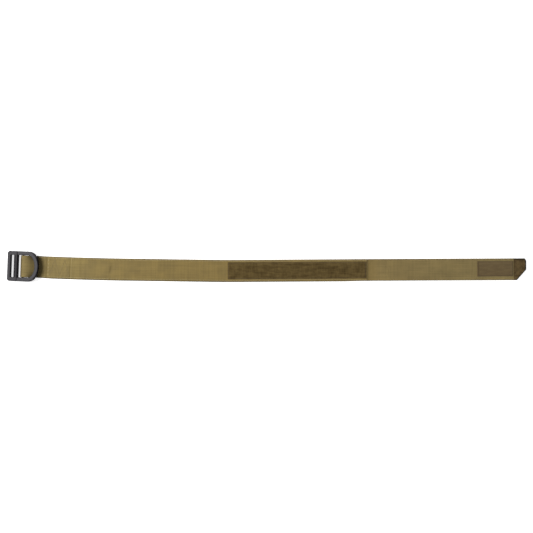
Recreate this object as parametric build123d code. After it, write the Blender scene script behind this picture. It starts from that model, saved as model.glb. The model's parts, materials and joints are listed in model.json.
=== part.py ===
from build123d import *

import math
import os

# A webbing utility belt laid out flat with its outer face up. The strap is one length
# of webbing: it runs from the tip to the buckle's attachment bar, turns round the bar
# and comes back on top of itself as a second ply. Every length "along the belt" is
# measured from the axis of the attachment bar, in millimetres.

# Webbing
WEB_WIDTH = 44.5
WEB_T = 2.2            # one ply
BEND_GAP = 0.3         # clearance at each place where the strap bends

# Lengths along the belt, buckle to tip
BUCKLE_END = 106.0     # attachment bar to the first bend
FRONT = 74.0           # first bend to the crease
MIDDLE = 234.0         # crease to the bend before the loop panel
PANEL_MARGIN = 7.2     # bend to the loop panel
PANEL_LENGTH = 285.3
PLY_END_MARGIN = 3.5   # loop panel to the end of the upper ply
FOLD_OFFSET = 6.0      # end of the upper ply to the tail's fold axis
FOLD_END_RUN = 0.9     # the tail's round end clears the height of the axis by this
TAIL = 108.0           # fold axis to the bend in the tail
TAIL_OUTER = 106.5     # bend in the tail to the bend before the hook patch
PATCH_MARGIN = 5.0     # bend to the hook patch
PATCH_LENGTH = 75.2
COVER_GAP = 1.0        # hook patch to the tip cover
COVER_LENGTH = 26.2

# The belt lies in a shallow bow: the heading of each stretch, in degrees
HEADING_BUCKLE_END = -2.2
HEADING_FRONT = -1.6
HEADING_MIDDLE = -0.9
HEADING_PANEL = 0.3
HEADING_TAIL = 0.2

# Touch fastener and tip
PANEL_BORDER = 4.75    # strap edge to the loop panel
PANEL_T = 1.8
PATCH_BORDER = 6.5     # strap edge to the hook patch, if the patch were centred
PATCH_T = 1.5
PATCH_SHIFT = 1.2      # the hook patch sits a little off the centre line
COVER_T = 0.6          # sheet of the tip cover
COVER_INSET = 0.8      # webbing end to the inside of the cover's closed edges
TIP_CUT_LENGTH = 20.7  # slanting cut, measured along the belt
TIP_CUT_RISE = 0.8     # centre line to the upper end of the cut
TIP_CORNER_LENGTH = 3.7
TIP_CORNER_WIDTH = 7.2

# Thread
THREAD_W = 0.9
THREAD_H = 0.35
EDGE_SEAM_INSET = 2.6  # strap edge to the edge seams
PIECE_SEAM_INSET = 1.6  # edge of a sewn-on piece to its seam
TACK_AT = 52.0         # first row of stitches behind the buckle
BOX_LENGTH = 46.0      # tack row to the far end of the box stitch
BOX_POINTS = 4         # slanting runs in the box's zigzag
SEAM_END_MARGIN = 5.6  # a seam stops this far from a bend

# Buckle
BAR_R = 2.25           # attachment bar
LOOP_CLEARANCE = 0.3   # webbing loop to bar
RISE_LENGTH = 26.0     # the upper ply comes down to the lower one over this length
SLOT_CLEARANCE = 0.75  # strap edge to the rail, on each side
RAIL_W = 8.0
LADDER_T = 7.4
END_BAR_W = 6.5
SLOT_W = 7.0
SLOT_CORNER_R = 1.5
MID_BAR_W = 7.8
MID_BAR_ROUND = 2.6    # radius of the middle bar's edge towards the ring
BACK_SLOT_W = 5.8      # middle bar to the webbing loop
CORNER_R = 5.0
RING_T = 6.5
RING_ROOT = 2.0        # the ring's rails reach this far into the ladder's
RING_TILT = 12.0       # the ring stands up from the strap, in degrees
RING_REACH = 35.8      # attachment bar to the outside of the ring, in plan
RING_BAND = 8.0
RING_SHOULDER = 12.2   # where the rails end and the round part starts, in plan
RELIEF_T = 1.5         # the ring is thinner than the rails where it crosses the strap
EDGE_R = 1.5
SLOT_EDGE_R = 0.6
GROOVE_W = 0.7         # the grooves between the middle bar's ribs
GROOVE_DEPTH = 0.5
GROOVE_COUNT = 3
CUT = 1.0              # how far a cutting tool runs past what it cuts
NEAR = 0.01            # tolerance when edges are picked by their place

HALF_WEB = WEB_WIDTH / 2
PANEL_WIDTH = WEB_WIDTH - 2 * PANEL_BORDER
PATCH_WIDTH = WEB_WIDTH - 2 * PATCH_BORDER
LOOP_R = BAR_R + LOOP_CLEARANCE + WEB_T
BAR_Z = LOOP_R
TOP_Z = 2 * WEB_T
BEND_R = WEB_T         # half the thickness of the doubled strap
PANEL_X = PANEL_MARGIN
PLY_END_X = PANEL_MARGIN + PANEL_LENGTH + PLY_END_MARGIN
FOLD_X = PLY_END_X + FOLD_OFFSET
# The tail folds over so that the hook patch meets the loop panel, seam over seam.
FACE_GAP = BEND_GAP + 2 * THREAD_H
FOLD_Z = (TOP_Z + PANEL_T + FACE_GAP + WEB_T + PATCH_T) / 2
FOLD_R = FOLD_Z + FOLD_END_RUN
COVER_X = PATCH_MARGIN + PATCH_LENGTH + COVER_GAP
TIP_X = COVER_X + COVER_LENGTH
MID_BAR_X = -LOOP_R - BACK_SLOT_W
END_X = MID_BAR_X - MID_BAR_W - SLOT_W - END_BAR_W
SLOT_X = END_X + END_BAR_W
HALF_SLOT = HALF_WEB + SLOT_CLEARANCE
SLOT_HEIGHT = 2 * HALF_SLOT
HALF_BUCKLE = HALF_SLOT + RAIL_W


def frames():
    """The plan position and heading of each stretch, each starting at its own axis."""
    steps = [
        ("buckle_end", BUCKLE_END, HEADING_BUCKLE_END),
        ("front", FRONT, HEADING_FRONT),
        ("middle", MIDDLE, HEADING_MIDDLE),
        ("panel", FOLD_X, HEADING_PANEL),
        ("tail", TAIL, HEADING_TAIL),
        ("tail_outer", TAIL_OUTER, HEADING_TAIL),
        ("tip", TIP_X, HEADING_TAIL),
    ]
    x = 0.0
    y = 0.0
    found = {}
    for name, length, heading in steps:
        found[name] = Location((x, y, 0), (0, 0, heading))
        x += length * math.cos(math.radians(heading))
        y += length * math.sin(math.radians(heading))
    return found


def slab(x0, x1, z0, z1, width=WEB_WIDTH, y=0.0):
    """A flat strip from x0 to x1 and z0 to z1, centred on y."""
    return Pos((x0 + x1) / 2, y, (z0 + z1) / 2) * Box(x1 - x0, width, z1 - z0)


def roller(x, z, radius, width=2 * WEB_WIDTH):
    """A cylinder across the belt."""
    return Pos(x, 0, z) * Rot(90, 0, 0) * Cylinder(radius, width)


def ply(length, z0, z1, bend_z, end_gap):
    """A ply whose start is rounded about a bend axis, and whose end leaves room for the next."""
    radius = max(abs(z0 - bend_z), abs(z1 - bend_z))
    body = slab(0, length - end_gap, z0, z1)
    nose = slab(-radius, 0, z0, z1) & roller(0, bend_z, radius)
    return body + nose


def end_gap(heading, next_heading):
    """Room between a doubled stretch's flat end and the bend axis, at both edges of the strap."""
    turn = math.radians(abs(next_heading - heading))
    return BEND_R + BEND_GAP + HALF_WEB * math.sin(turn)


def doubled(length, heading, next_heading):
    """The lower and the upper ply of a doubled stretch."""
    gap = end_gap(heading, next_heading)
    lower = ply(length, 0, WEB_T, WEB_T, gap)
    upper = ply(length, WEB_T, TOP_Z, WEB_T, gap)
    return lower, upper


def across(face_in_xz, width=WEB_WIDTH):
    """Runs a side profile, drawn in X and Z, across the belt."""
    return extrude(Plane.XZ * face_in_xz, amount=width / 2, both=True)


def loop():
    """The turn of webbing round the attachment bar."""
    ring = roller(0, BAR_Z, LOOP_R, WEB_WIDTH) - roller(0, BAR_Z, LOOP_R - WEB_T)
    return ring & slab(-2 * LOOP_R, 0, -CUT, 2 * LOOP_R + CUT)


def upper_at_buckle():
    """The upper ply coming down from the loop in two tangent arcs, then running flat."""
    high = 2 * LOOP_R - WEB_T / 2
    low = TOP_Z - WEB_T / 2
    turn = 2 * math.degrees(math.atan2(high - low, RISE_LENGTH))
    mid_r = RISE_LENGTH / (2 * math.sin(math.radians(turn)))
    outer = mid_r + WEB_T / 2
    inner = mid_r - WEB_T / 2
    first = (0, high - mid_r)
    second = (RISE_LENGTH, low + mid_r)
    end = BUCKLE_END - end_gap(HEADING_BUCKLE_END, HEADING_FRONT)
    edges = [
        CenterArc(first, outer, 90, -turn),
        CenterArc(second, inner, 270 - turn, turn),
        Line((RISE_LENGTH, TOP_Z), (end, TOP_Z)),
        Line((end, TOP_Z), (end, WEB_T)),
        Line((end, WEB_T), (RISE_LENGTH, WEB_T)),
        CenterArc(second, outer, 270 - turn, turn),
        CenterArc(first, inner, 90, -turn),
        Line((0, high - WEB_T / 2), (0, high + WEB_T / 2)),
    ]
    return across(make_face(Curve() + edges))


def seam_row(x, z, half=HALF_WEB - EDGE_SEAM_INSET):
    """A row of stitches straight across the belt."""
    return slab(x - THREAD_W / 2, x + THREAD_W / 2, z, z + THREAD_H, 2 * half)


def edge_seams(x0, x1):
    """The two rows that join the plies along their edges."""
    side = HALF_WEB - EDGE_SEAM_INSET
    rows = [slab(x0, x1, TOP_Z, TOP_Z + THREAD_H, THREAD_W, y) for y in (-side, side)]
    return Compound(rows)


def seam_ring(x0, x1, half, z, y=0.0):
    """A closed rectangle of stitches."""
    inset = THREAD_W / 2
    outer = slab(x0 - inset, x1 + inset, z, z + THREAD_H, 2 * (half + inset), y)
    inner = slab(x0 + inset, x1 - inset, z - CUT, z + CUT, 2 * (half - inset), y)
    return outer - inner


def box_zigzag():
    """The slanting runs inside the box stitch, as one band that turns at each side."""
    x0 = TACK_AT + 3 * THREAD_W
    x1 = TACK_AT + BOX_LENGTH - 3 * THREAD_W
    half = HALF_WEB - EDGE_SEAM_INSET - 3 * THREAD_W
    step = (x1 - x0) / BOX_POINTS
    band = None
    for i in range(BOX_POINTS):
        side = half if i % 2 else -half
        start = Vector(x0 + i * step, side, 0)
        run = Vector(step, -2 * side, 0)
        angle = math.degrees(math.atan2(run.Y, run.X))
        place = Pos(start.X + run.X / 2, start.Y + run.Y / 2, TOP_Z + THREAD_H / 2)
        bar = place * Rot(0, 0, angle) * Box(run.length + THREAD_W, THREAD_W, THREAD_H)
        band = bar if band is None else band + bar
    return band


def tip_outline(inset, x0):
    """The strap's end seen from above: a small cut corner and a long slanting cut."""
    side = HALF_WEB - inset
    end = TIP_X - inset
    cut_y = TIP_CUT_RISE
    cut = Vector(TIP_CUT_LENGTH, HALF_WEB + cut_y, 0)
    slope = cut.X / cut.Y
    back = inset * (cut.length / cut.Y - slope)
    corner = Vector(TIP_CORNER_LENGTH, TIP_CORNER_WIDTH, 0)
    trim = inset * (corner.length - corner.X) / corner.Y
    points = [
        (x0, -side),
        (TIP_X - TIP_CUT_LENGTH - back, -side),
        (end, cut_y + inset * (cut.length - cut.Y) / cut.X),
        (end, HALF_WEB - TIP_CORNER_WIDTH - trim * corner.Y / corner.X),
        (TIP_X - TIP_CORNER_LENGTH - trim, side),
        (x0, side),
    ]
    return make_face(Polyline(*points, close=True))


def tip_webbing():
    """The last stretch of the strap, pressed thinner where the cover wraps it."""
    nose = ply(COVER_X, 0, WEB_T, WEB_T / 2, 0)
    tongue = extrude(Pos(0, 0, COVER_T) * tip_outline(COVER_INSET, COVER_X), WEB_T - COVER_T)
    return nose + tongue


def tip_cover():
    """A folded cap over the strap's end, open towards the buckle."""
    outer = extrude(tip_outline(0, COVER_X), WEB_T + COVER_T)
    pocket = Pos(0, 0, COVER_T) * tip_outline(COVER_INSET, COVER_X)
    return outer - extrude(pocket, WEB_T - COVER_T)


def beside_slot(edge):
    """Whether an edge of the ladder borders its slot."""
    middle = edge.center()
    past = abs(middle.X - SLOT_X - SLOT_W / 2) - SLOT_W / 2
    return past < NEAR and abs(middle.Y) < HALF_SLOT + NEAR


def ladder():
    """The thick half of the buckle: end bar, slot, ribbed middle bar and the rails beside them."""
    length = MID_BAR_X - END_X
    outline = Pos(END_X + length / 2, 0) * Rectangle(length, 2 * HALF_BUCKLE)
    left = outline.vertices().group_by(Axis.X)[0]
    plate = extrude(fillet(left, CORNER_R), LADDER_T)
    slot = Pos(SLOT_X + SLOT_W / 2, 0) * RectangleRounded(SLOT_W, SLOT_HEIGHT, SLOT_CORNER_R)
    plate -= extrude(slot, LADDER_T)
    end = plate.edges().filter_by(lambda e: e.center().X > MID_BAR_X - NEAR)
    plate = fillet(end.group_by(Axis.Z)[-1], MID_BAR_ROUND)
    for at_slot, radius in ((False, EDGE_R), (True, SLOT_EDGE_R)):
        rims = plate.edges().filter_by(lambda e: abs(e.center().Z - LADDER_T) < NEAR)
        free = [e for e in rims if e.center().X < MID_BAR_X - MID_BAR_ROUND - NEAR]
        plate = fillet([e for e in free if beside_slot(e) == at_slot], radius)
    pitch = (MID_BAR_W - MID_BAR_ROUND) / (GROOVE_COUNT + 1)
    for i in range(GROOVE_COUNT):
        x = MID_BAR_X - MID_BAR_W + pitch * (i + 1)
        plate -= slab(x - GROOVE_W / 2, x + GROOVE_W / 2, LADDER_T - GROOVE_DEPTH, LADDER_T + CUT,
                      SLOT_HEIGHT)
    return plate


def ring():
    """The thinner half: two rails that rise from the ladder and meet in a round ring."""
    stretch = 1 / math.cos(math.radians(RING_TILT))
    shoulder = RING_SHOULDER * stretch
    reach = RING_REACH * stretch - shoulder
    start = MID_BAR_X - RING_ROOT
    rails = Pos((start + shoulder) / 2, 0) * Rectangle(shoulder - start, 2 * HALF_BUCKLE)
    round_end = Pos(shoulder, 0) * Ellipse(reach, HALF_BUCKLE)
    hole = Pos((start + shoulder) / 2, 0) * Rectangle(shoulder - start, SLOT_HEIGHT)
    round_hole = Pos(shoulder, 0) * Ellipse(reach - RING_BAND * stretch, HALF_SLOT)
    plate = extrude((rails + round_end) - (hole + round_hole), RING_T)
    top = plate.faces().sort_by(Axis.Z)[-1]
    plate = fillet([e for e in top.edges() if e.center().X > start + NEAR], EDGE_R)
    relief = Pos(shoulder + reach, 0, 0) * Box(2 * reach, SLOT_HEIGHT, 2 * RELIEF_T)
    plate -= relief
    return Pos(0, 0, BAR_Z) * Rot(0, -RING_TILT, 0) * Pos(0, 0, -BAR_R) * plate


def buckle_frame():
    """The one-piece buckle, with its attachment bar between the rails."""
    bar = roller(0, BAR_Z, BAR_R, SLOT_HEIGHT + 2 * EDGE_R)
    under = slab(-2 * HALF_BUCKLE, 2 * HALF_BUCKLE, -LADDER_T, 0, 4 * HALF_BUCKLE)
    return ladder() + (ring() - under) + bar


def models():
    """Every sub-part as (body, node, solid), in its own stretch's frame."""
    tail_gap = WEB_T / 2 + BEND_GAP
    seam_half = HALF_WEB - EDGE_SEAM_INSET
    lower_end = BUCKLE_END - end_gap(HEADING_BUCKLE_END, HEADING_FRONT)
    front = doubled(FRONT, HEADING_FRONT, HEADING_MIDDLE)
    middle = doubled(MIDDLE, HEADING_MIDDLE, HEADING_PANEL)
    panel_lower = ply(PLY_END_X, 0, WEB_T, WEB_T, 0)
    panel_upper = ply(PLY_END_X, WEB_T, TOP_Z, WEB_T, 0)
    to_fold = slab(PLY_END_X, FOLD_X, 0, WEB_T)
    past_fold = slab(FOLD_X, FOLD_X + FOLD_R, 0, WEB_T)
    past_fold &= roller(FOLD_X, FOLD_Z, FOLD_R - BEND_GAP)
    patch_end = PATCH_MARGIN + PATCH_LENGTH
    tail = slab(0, TAIL - tail_gap, 0, WEB_T) - roller(0, FOLD_Z, FOLD_R)
    cover_top = WEB_T + COVER_T
    return [
        ("buckle_end", "buckle_frame", buckle_frame()),
        ("buckle_end", "webbing_loop", loop()),
        ("buckle_end", "webbing_lower_buckle_end", slab(0, lower_end, 0, WEB_T)),
        ("buckle_end", "webbing_upper_buckle_end", upper_at_buckle()),
        ("buckle_end", "loop_tack_seam", seam_row(TACK_AT, TOP_Z, seam_half - 2 * THREAD_W)),
        ("buckle_end", "box_end_seam",
         seam_row(TACK_AT + BOX_LENGTH, TOP_Z, seam_half - 2 * THREAD_W)),
        ("buckle_end", "box_zigzag_seam", box_zigzag()),
        ("buckle_end", "edge_seams_buckle_end",
         edge_seams(RISE_LENGTH + SEAM_END_MARGIN, BUCKLE_END - SEAM_END_MARGIN)),
        ("front", "webbing_lower_front", front[0]),
        ("front", "webbing_upper_front", front[1]),
        ("front", "edge_seams_front", edge_seams(SEAM_END_MARGIN, FRONT - SEAM_END_MARGIN)),
        ("middle", "webbing_lower_middle", middle[0]),
        ("middle", "webbing_upper_middle", middle[1]),
        ("middle", "edge_seams_middle", edge_seams(SEAM_END_MARGIN, MIDDLE - SEAM_END_MARGIN)),
        ("panel", "webbing_lower_panel", panel_lower + to_fold + past_fold),
        ("panel", "webbing_upper_panel", panel_upper),
        ("panel", "edge_seams_panel",
         edge_seams(SEAM_END_MARGIN, PLY_END_X - PIECE_SEAM_INSET - 2 * THREAD_W)),
        ("panel", "ply_end_seam", seam_row(PLY_END_X - PIECE_SEAM_INSET, TOP_Z, seam_half)),
        ("panel", "loop_panel",
         slab(PANEL_X, PANEL_X + PANEL_LENGTH, TOP_Z, TOP_Z + PANEL_T, PANEL_WIDTH)),
        ("panel", "loop_panel_seam",
         seam_ring(PANEL_X + PIECE_SEAM_INSET, PANEL_X + PANEL_LENGTH - PIECE_SEAM_INSET,
                   PANEL_WIDTH / 2 - PIECE_SEAM_INSET, TOP_Z + PANEL_T)),
        ("tail", "webbing_tail", tail),
        ("tail_outer", "webbing_tail_outer", ply(TAIL_OUTER, 0, WEB_T, WEB_T / 2, tail_gap)),
        ("tip", "webbing_tip", tip_webbing()),
        ("tip", "hook_patch",
         slab(PATCH_MARGIN, patch_end, WEB_T, WEB_T + PATCH_T, PATCH_WIDTH, PATCH_SHIFT)),
        ("tip", "hook_patch_seam",
         seam_ring(PATCH_MARGIN + PIECE_SEAM_INSET, patch_end - PIECE_SEAM_INSET,
                   PATCH_WIDTH / 2 - PIECE_SEAM_INSET, WEB_T + PATCH_T, PATCH_SHIFT)),
        ("tip", "tip_cover", tip_cover()),
        ("tip", "tip_cover_seam", seam_row(COVER_X + PIECE_SEAM_INSET, cover_top)),
    ]


def main():
    os.makedirs("parts", exist_ok=True)
    frame = frames()
    placed = [(body, node, shape.moved(frame[body])) for body, node, shape in models()]
    box = Compound([shape for _, _, shape in placed]).bounding_box()
    shift = Pos(-box.center().X, -box.center().Y, -box.min.Z)
    for _, node, shape in placed:
        moved = shape.moved(shift)
        moved.label = node
        export_step(moved, f"parts/{node}.step")
    for body, place in frame.items():
        origin = (shift * place).position
        print(f"axis of {body}: {origin.X:.4f} {origin.Y:.4f} heading {place.orientation.Z:.2f}")
    print(f"bar z {BAR_Z:.3f}, bend z {WEB_T:.3f}, tail bend z {WEB_T / 2:.3f}, fold z {FOLD_Z:.3f}")
    print(f"size {box.size.X:.2f} {box.size.Y:.2f} {box.size.Z:.2f}")


main()
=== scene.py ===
import json
import math

import bpy
import numpy as np
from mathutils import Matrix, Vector


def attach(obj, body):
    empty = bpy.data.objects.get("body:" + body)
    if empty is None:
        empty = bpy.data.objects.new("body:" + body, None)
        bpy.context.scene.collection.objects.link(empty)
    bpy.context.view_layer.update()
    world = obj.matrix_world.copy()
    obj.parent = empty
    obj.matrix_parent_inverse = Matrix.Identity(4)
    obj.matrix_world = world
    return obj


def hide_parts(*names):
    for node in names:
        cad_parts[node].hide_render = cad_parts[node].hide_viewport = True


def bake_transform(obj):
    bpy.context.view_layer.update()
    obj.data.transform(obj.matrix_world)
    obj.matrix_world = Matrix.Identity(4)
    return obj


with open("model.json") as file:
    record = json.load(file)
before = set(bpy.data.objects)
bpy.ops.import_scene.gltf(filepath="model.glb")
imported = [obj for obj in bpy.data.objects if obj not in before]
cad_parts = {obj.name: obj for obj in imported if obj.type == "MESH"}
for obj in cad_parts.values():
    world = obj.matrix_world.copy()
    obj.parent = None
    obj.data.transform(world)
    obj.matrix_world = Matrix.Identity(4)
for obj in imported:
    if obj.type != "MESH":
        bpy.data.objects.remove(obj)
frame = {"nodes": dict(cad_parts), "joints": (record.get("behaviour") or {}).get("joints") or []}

MM = 0.001

# Strap: the webbing's size, the heights of its plies, and its turn round the bar
HALF_WEB = 22.5
WEB_T = 2.2
LOW_MID = WEB_T / 2
HIGH_MID = 3 * WEB_T / 2
TOP_Z = 2 * WEB_T
BAR_Z = 4.75
LOOP_MID_R = 3.65
LOOP_RUN = math.pi * LOOP_MID_R

# Where the upper ply comes down from the loop and where it ends, how far the lower ply
# shows past it on one side, and how far the centre line's soft turns reach
FALL_START = 1.0
FALL_END = 28.0
PLY_END = 710.0
PLY_SLIP = 0.8
SOFT_TURN = 30.0

# Weave: columns of the flat face, the selvage's round, the ribs and the yarns
FLAT_COLUMNS = [0, 3, 6, 9, 12, 15, 17.4, 18.7, 19.2, 19.65, 20.1, 20.6, 21.05]
SELVAGE_R = 1.2
RIB_PITCH = 1.6
RIB_STEP = RIB_PITCH / 5
RIB_HEIGHT = 0.07
YARN = 1.1

# The third value of "lay" on the upper ply; it is zero on the lower ply
LEVEL_MARK = 30.0

# Ridges and valleys across the strap: height, station and half width of each
PLY_RIDGES = [(0.4, 45.8, 1.7), (-0.45, 49.9, 1.3), (0.2, 54.5, 2), (-0.6, 97.2, 1.1),
              (0.3, 101, 1.8), (-0.12, 120, 1.5)]
TAIL_RIDGES = [(0.14, 926.5, 1.2), (0.12, 931, 1.2)]

# Seams: where the rows run, and the slanting stitches' start, run and half width
SEAM_V = 19.65
ROW_HALF = SEAM_V - 1.8
TACK_S = 52.0
BOX_END_S = 100.2
EDGE_END_S = 706.0
PLY_ROW_S = 708.4
COVER_ROW_S = 1010.1
ZIG_START = 54.7
ZIG_RUN = 10.15
ZIG_HALF = 16.5

# Pitch, thickness and filled part of a stitch
STITCH = (3.2, 0.36, 0.86)
BOX_STITCH = (3.0, 0.36, 0.86)
TACK_STITCH = (7.1, 0.7, 0.45)
PATCH_STITCH = (2.8, 0.36, 0.86)
COVER_STITCH = (3.2, 0.42, 0.86)

# Sewn-on strips: where each and its pile or hooks start and end along the belt, their half
# widths, the heights of its seam and its hooks, and how far in its seam runs
PANEL_S = (421.2, 706.5)
PANEL_HALF = 17.5
PANEL_SEAM_Z = TOP_Z + 0.7
PILE_S = (424.6, 703.6)
PILE_HALF = 14.4
PATCH_S = (935.5, 1009.4)
PATCH_HALF = 15.75
PATCH_SHIFT = 1.2
PATCH_SEAM_Z = WEB_T + 0.58
HOOKS_S = (938.6, 1006.5)
HOOKS_HALF = 12.6
HOOK_GROUND_Z = WEB_T + 0.75
STRIP_GAP = 0.02
STRIP_SEAM = 1.6

# Tip cover: its ends, its top, its oblique cut, its trimmed corner, its sheet, and how far
# the strap is tucked into it
COVER_S = (1010.9, 1036.6)
COVER_TOP = WEB_T + 0.6
CUT_START = 1017.2
CUT_END = 1037.9
CUT_RISE = 0.8
CORNER_START = 1033.6
CORNER_V = 17.4
SHEET_T = 0.6
STRAP_TUCK = 0.4

# The strap's cuts into pieces, each in the rigid middle of a stretch, how far a bend
# reaches on each side of its axis, and the axes' heights
CUTS = [31.0, 143.0, 297.0, 565.0, 770.0, 877.0]
BEND_REACH = 6.0
BEND_Z = {"buckle_end_bend": 2.2, "crease_bend": 2.2, "front_bend": 2.2,
          "tail_fold": 5.45, "tail_bend": 1.1, "tip_bend": 1.1}
STARTS = ["buckle_swing", "buckle_end_bend", "crease_bend", "front_bend", "tail_fold",
          "tail_bend", "tip_bend"]

# Stage, in metres: the table's rings, its flat part, its edge and how high that rises, the
# softbox, the dome and the camera
TABLE_RINGS = [0.5, 1.5, 2.5, 3.2, 3.9, 4.6, 5.3, 6.0]
TABLE_SIDES = 48
TABLE_FLAT = 2.5
TABLE_RISE = 2.2
TABLE_DROP = 0.0003
SOFTBOX_AT = (-2.1, 0.65, 2.2)
SOFTBOX_SIZE = 1.5
SOFTBOX_POWER = 104.0
DOME_POWER = 0.25
CAMERA_AT = (-0.0016, -0.0009, 1.15)
CAMERA_TURN = -0.0012
SENSOR_MM = 36.0
LENS_MM = 37.6


# ---------------------------------------------------------------- the belt's line

def stretch_starts():
    """Plan position, heading and station of each stretch, from the joints at their starts."""
    joints = {j["name"]: j for j in frame["joints"]}
    places = np.array([joints[n]["pos_m"][:2] for n in STARTS]) / MM
    lateral = np.array([joints[n]["axis"][:2] for n in STARTS])
    lateral *= np.sign(lateral[:, 1:])
    heading = np.stack([lateral[:, 1], -lateral[:, 0]], axis=1)
    steps = np.linalg.norm(np.diff(places, axis=0), axis=1)
    return places, heading, np.concatenate([[0], np.cumsum(steps)])


PLACES, HEADINGS, STATIONS = stretch_starts()


def ramp(t):
    """Zero before a turn and straight after it, with a parabola between."""
    curve = (t + SOFT_TURN) ** 2 / (4 * SOFT_TURN)
    return np.where(t < -SOFT_TURN, 0, np.where(t > SOFT_TURN, t, curve))


def centre_line(s):
    """Plan point of the centre line: the first heading run out, plus each turn's ramp."""
    line = PLACES[0] + s[..., None] * HEADINGS[0]
    for k in range(1, len(STATIONS)):
        line = line + ramp(s - STATIONS[k])[..., None] * (HEADINGS[k] - HEADINGS[k - 1])
    return line


def lateral_at(s):
    """Unit vector to the belt's left, square to the centre line's slope."""
    along = centre_line(s + 1) - centre_line(s - 1)
    along /= np.linalg.norm(along, axis=-1, keepdims=True)
    return np.stack([-along[..., 1], along[..., 0], np.zeros(s.shape)], axis=-1)


def place(s, v, z):
    """Row-frame points, in millimetres, of belt coordinates."""
    s, v, z = np.broadcast_arrays(s, v, z)
    plan = centre_line(s.astype(float))
    level = np.concatenate([plan, z[..., None].astype(float)], axis=-1)
    return level + v[..., None] * lateral_at(s.astype(float))


def smooth(t):
    """Smoothstep, clamped to 0..1."""
    t = np.clip(t, 0, 1)
    return t * t * (3 - 2 * t)


def bell(t):
    """Gaussian bell, 1 at zero."""
    return np.exp(-t * t)


def mottle(s, v, pitch_s, pitch_v, seed):
    """Smooth noise in -1..1: random values on a lattice, eased between its points."""
    lattice = np.random.default_rng(seed).uniform(-1, 1, (256, 256))
    a, b = s / pitch_s, v / pitch_v
    i, j = np.floor(a).astype(int), np.floor(b).astype(int)
    fa, fb = smooth(a - i), smooth(b - j)
    row = lattice[i % 256, j % 256] * (1 - fb) + lattice[i % 256, (j + 1) % 256] * fb
    far = (i + 1) % 256
    next_row = lattice[far, j % 256] * (1 - fb) + lattice[far, (j + 1) % 256] * fb
    return row * (1 - fa) + next_row * fa


# ---------------------------------------------------------------- meshes

def to_metres(name, points, quads, lay):
    """A smooth mesh of quads, turned outwards by the sign of its volume, with its points'
    own coordinates as the attribute "lay"."""
    points = np.asarray(points, float).reshape(-1, 3)
    quads = np.asarray(quads, int).reshape(-1, 4)
    a, b, c, d = (points[quads[:, k]] for k in range(4))
    twice = np.einsum("ij,ij->i", a, np.cross(b, c) + np.cross(c, d))
    if twice.sum() < 0:
        quads = quads[:, ::-1]
    mesh = bpy.data.meshes.new(name)
    mesh.vertices.add(len(points))
    mesh.vertices.foreach_set("co", (points * MM).ravel())
    mesh.loops.add(quads.size)
    mesh.loops.foreach_set("vertex_index", quads.ravel())
    mesh.polygons.add(len(quads))
    mesh.polygons.foreach_set("loop_start", np.arange(0, quads.size, 4))
    mesh.polygons.foreach_set("use_smooth", np.ones(len(quads), bool))
    field = mesh.attributes.new("lay", "FLOAT_VECTOR", "POINT")
    field.data.foreach_set("vector", (np.asarray(lay, float).reshape(-1, 3) * MM).ravel())
    mesh.update(calc_edges=True)
    mesh.validate()
    mesh.set_sharp_from_angle(angle=math.radians(50))
    piece = bpy.data.objects.new(name, mesh)
    bpy.context.scene.collection.objects.link(piece)
    return piece


def ribbon_quads(rows, columns):
    """A closed band: each row is a loop of columns, and its two ends are filled across."""
    i = np.arange(rows - 1)[:, None] * columns
    j = np.arange(columns)[None, :]
    k = (j + 1) % columns
    side = np.stack([i + j, i + k, i + columns + k, i + columns + j], axis=-1)
    h = np.arange(columns // 2 - 1)
    first = np.stack([h, columns - 1 - h, columns - 2 - h, h + 1], axis=-1)
    last = (rows - 1) * columns + first[:, ::-1]
    return np.concatenate([side.reshape(-1, 4), first, last])


def ribbon(name, points, lay):
    """A closed piece from a grid of points, rows along it and a loop of columns round it."""
    rows, columns = points.shape[:2]
    return to_metres(name, points, ribbon_quads(rows, columns), lay)


def many(name, points, quads, lay):
    """One mesh of many copies: points is (copies, points in one, 3), quads those of one."""
    count, each = points.shape[:2]
    shift = (np.arange(count) * each)[:, None, None]
    return to_metres(name, points, quads[None] + shift, lay)


# ---------------------------------------------------------------- the strap

def low_mid(s):
    """Height of the lower ply's middle: flat, with a hump 1 mm high where the single ply
    leaves the stiff doubled strap."""
    return LOW_MID + smooth((s - 718) / 28) * (1 - smooth((s - 748) / 55))


def pressed(s):
    """How far the upper ply's cut end is pressed thin, as a part of its thickness."""
    return 0.55 * smooth((s - 705.8) / 3.6)


def high_mid(s):
    """Height of the upper ply's middle: two parabolas down from the loop, a slack bulge
    before the first row of stitches, then flat, and lower where its end is pressed."""
    u = np.clip((s - FALL_START) / (FALL_END - FALL_START), 0, 1) ** 1.4
    fall = np.where(u < 0.5, 1 - 2 * u * u, 2 * (1 - u) ** 2)
    top = BAR_Z + LOOP_MID_R
    slack = 0.35 * np.sin(np.pi * np.clip((s - 27) / 22, 0, 1)) ** 2
    return HIGH_MID + (top - HIGH_MID) * fall + slack - WEB_T / 2 * pressed(s)


def strap_line(q):
    """Middle line of the strap at path q: the lower ply, a half circle round the bar and the
    upper ply. Gives points, stations, the marks that the relief and the weave follow, and
    levels (0 on the lower ply, 1 on the upper)."""
    turn = np.clip(q, 0, LOOP_RUN) / LOOP_MID_R
    s = np.where(q < 0, -q, np.where(q > LOOP_RUN, q - LOOP_RUN, 0))
    round_bar = -LOOP_MID_R * np.sin(turn)
    z = np.where(q < 0, low_mid(s), np.where(q > LOOP_RUN, high_mid(s),
                 BAR_Z - LOOP_MID_R * np.cos(turn)))
    inside = (q >= 0) & (q <= LOOP_RUN)
    along = np.where(inside, round_bar, s)
    mark = np.where(inside, np.minimum(q, LOOP_RUN - q), s)
    return place(along, 0.0, z), along, mark, turn / math.pi


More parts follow.
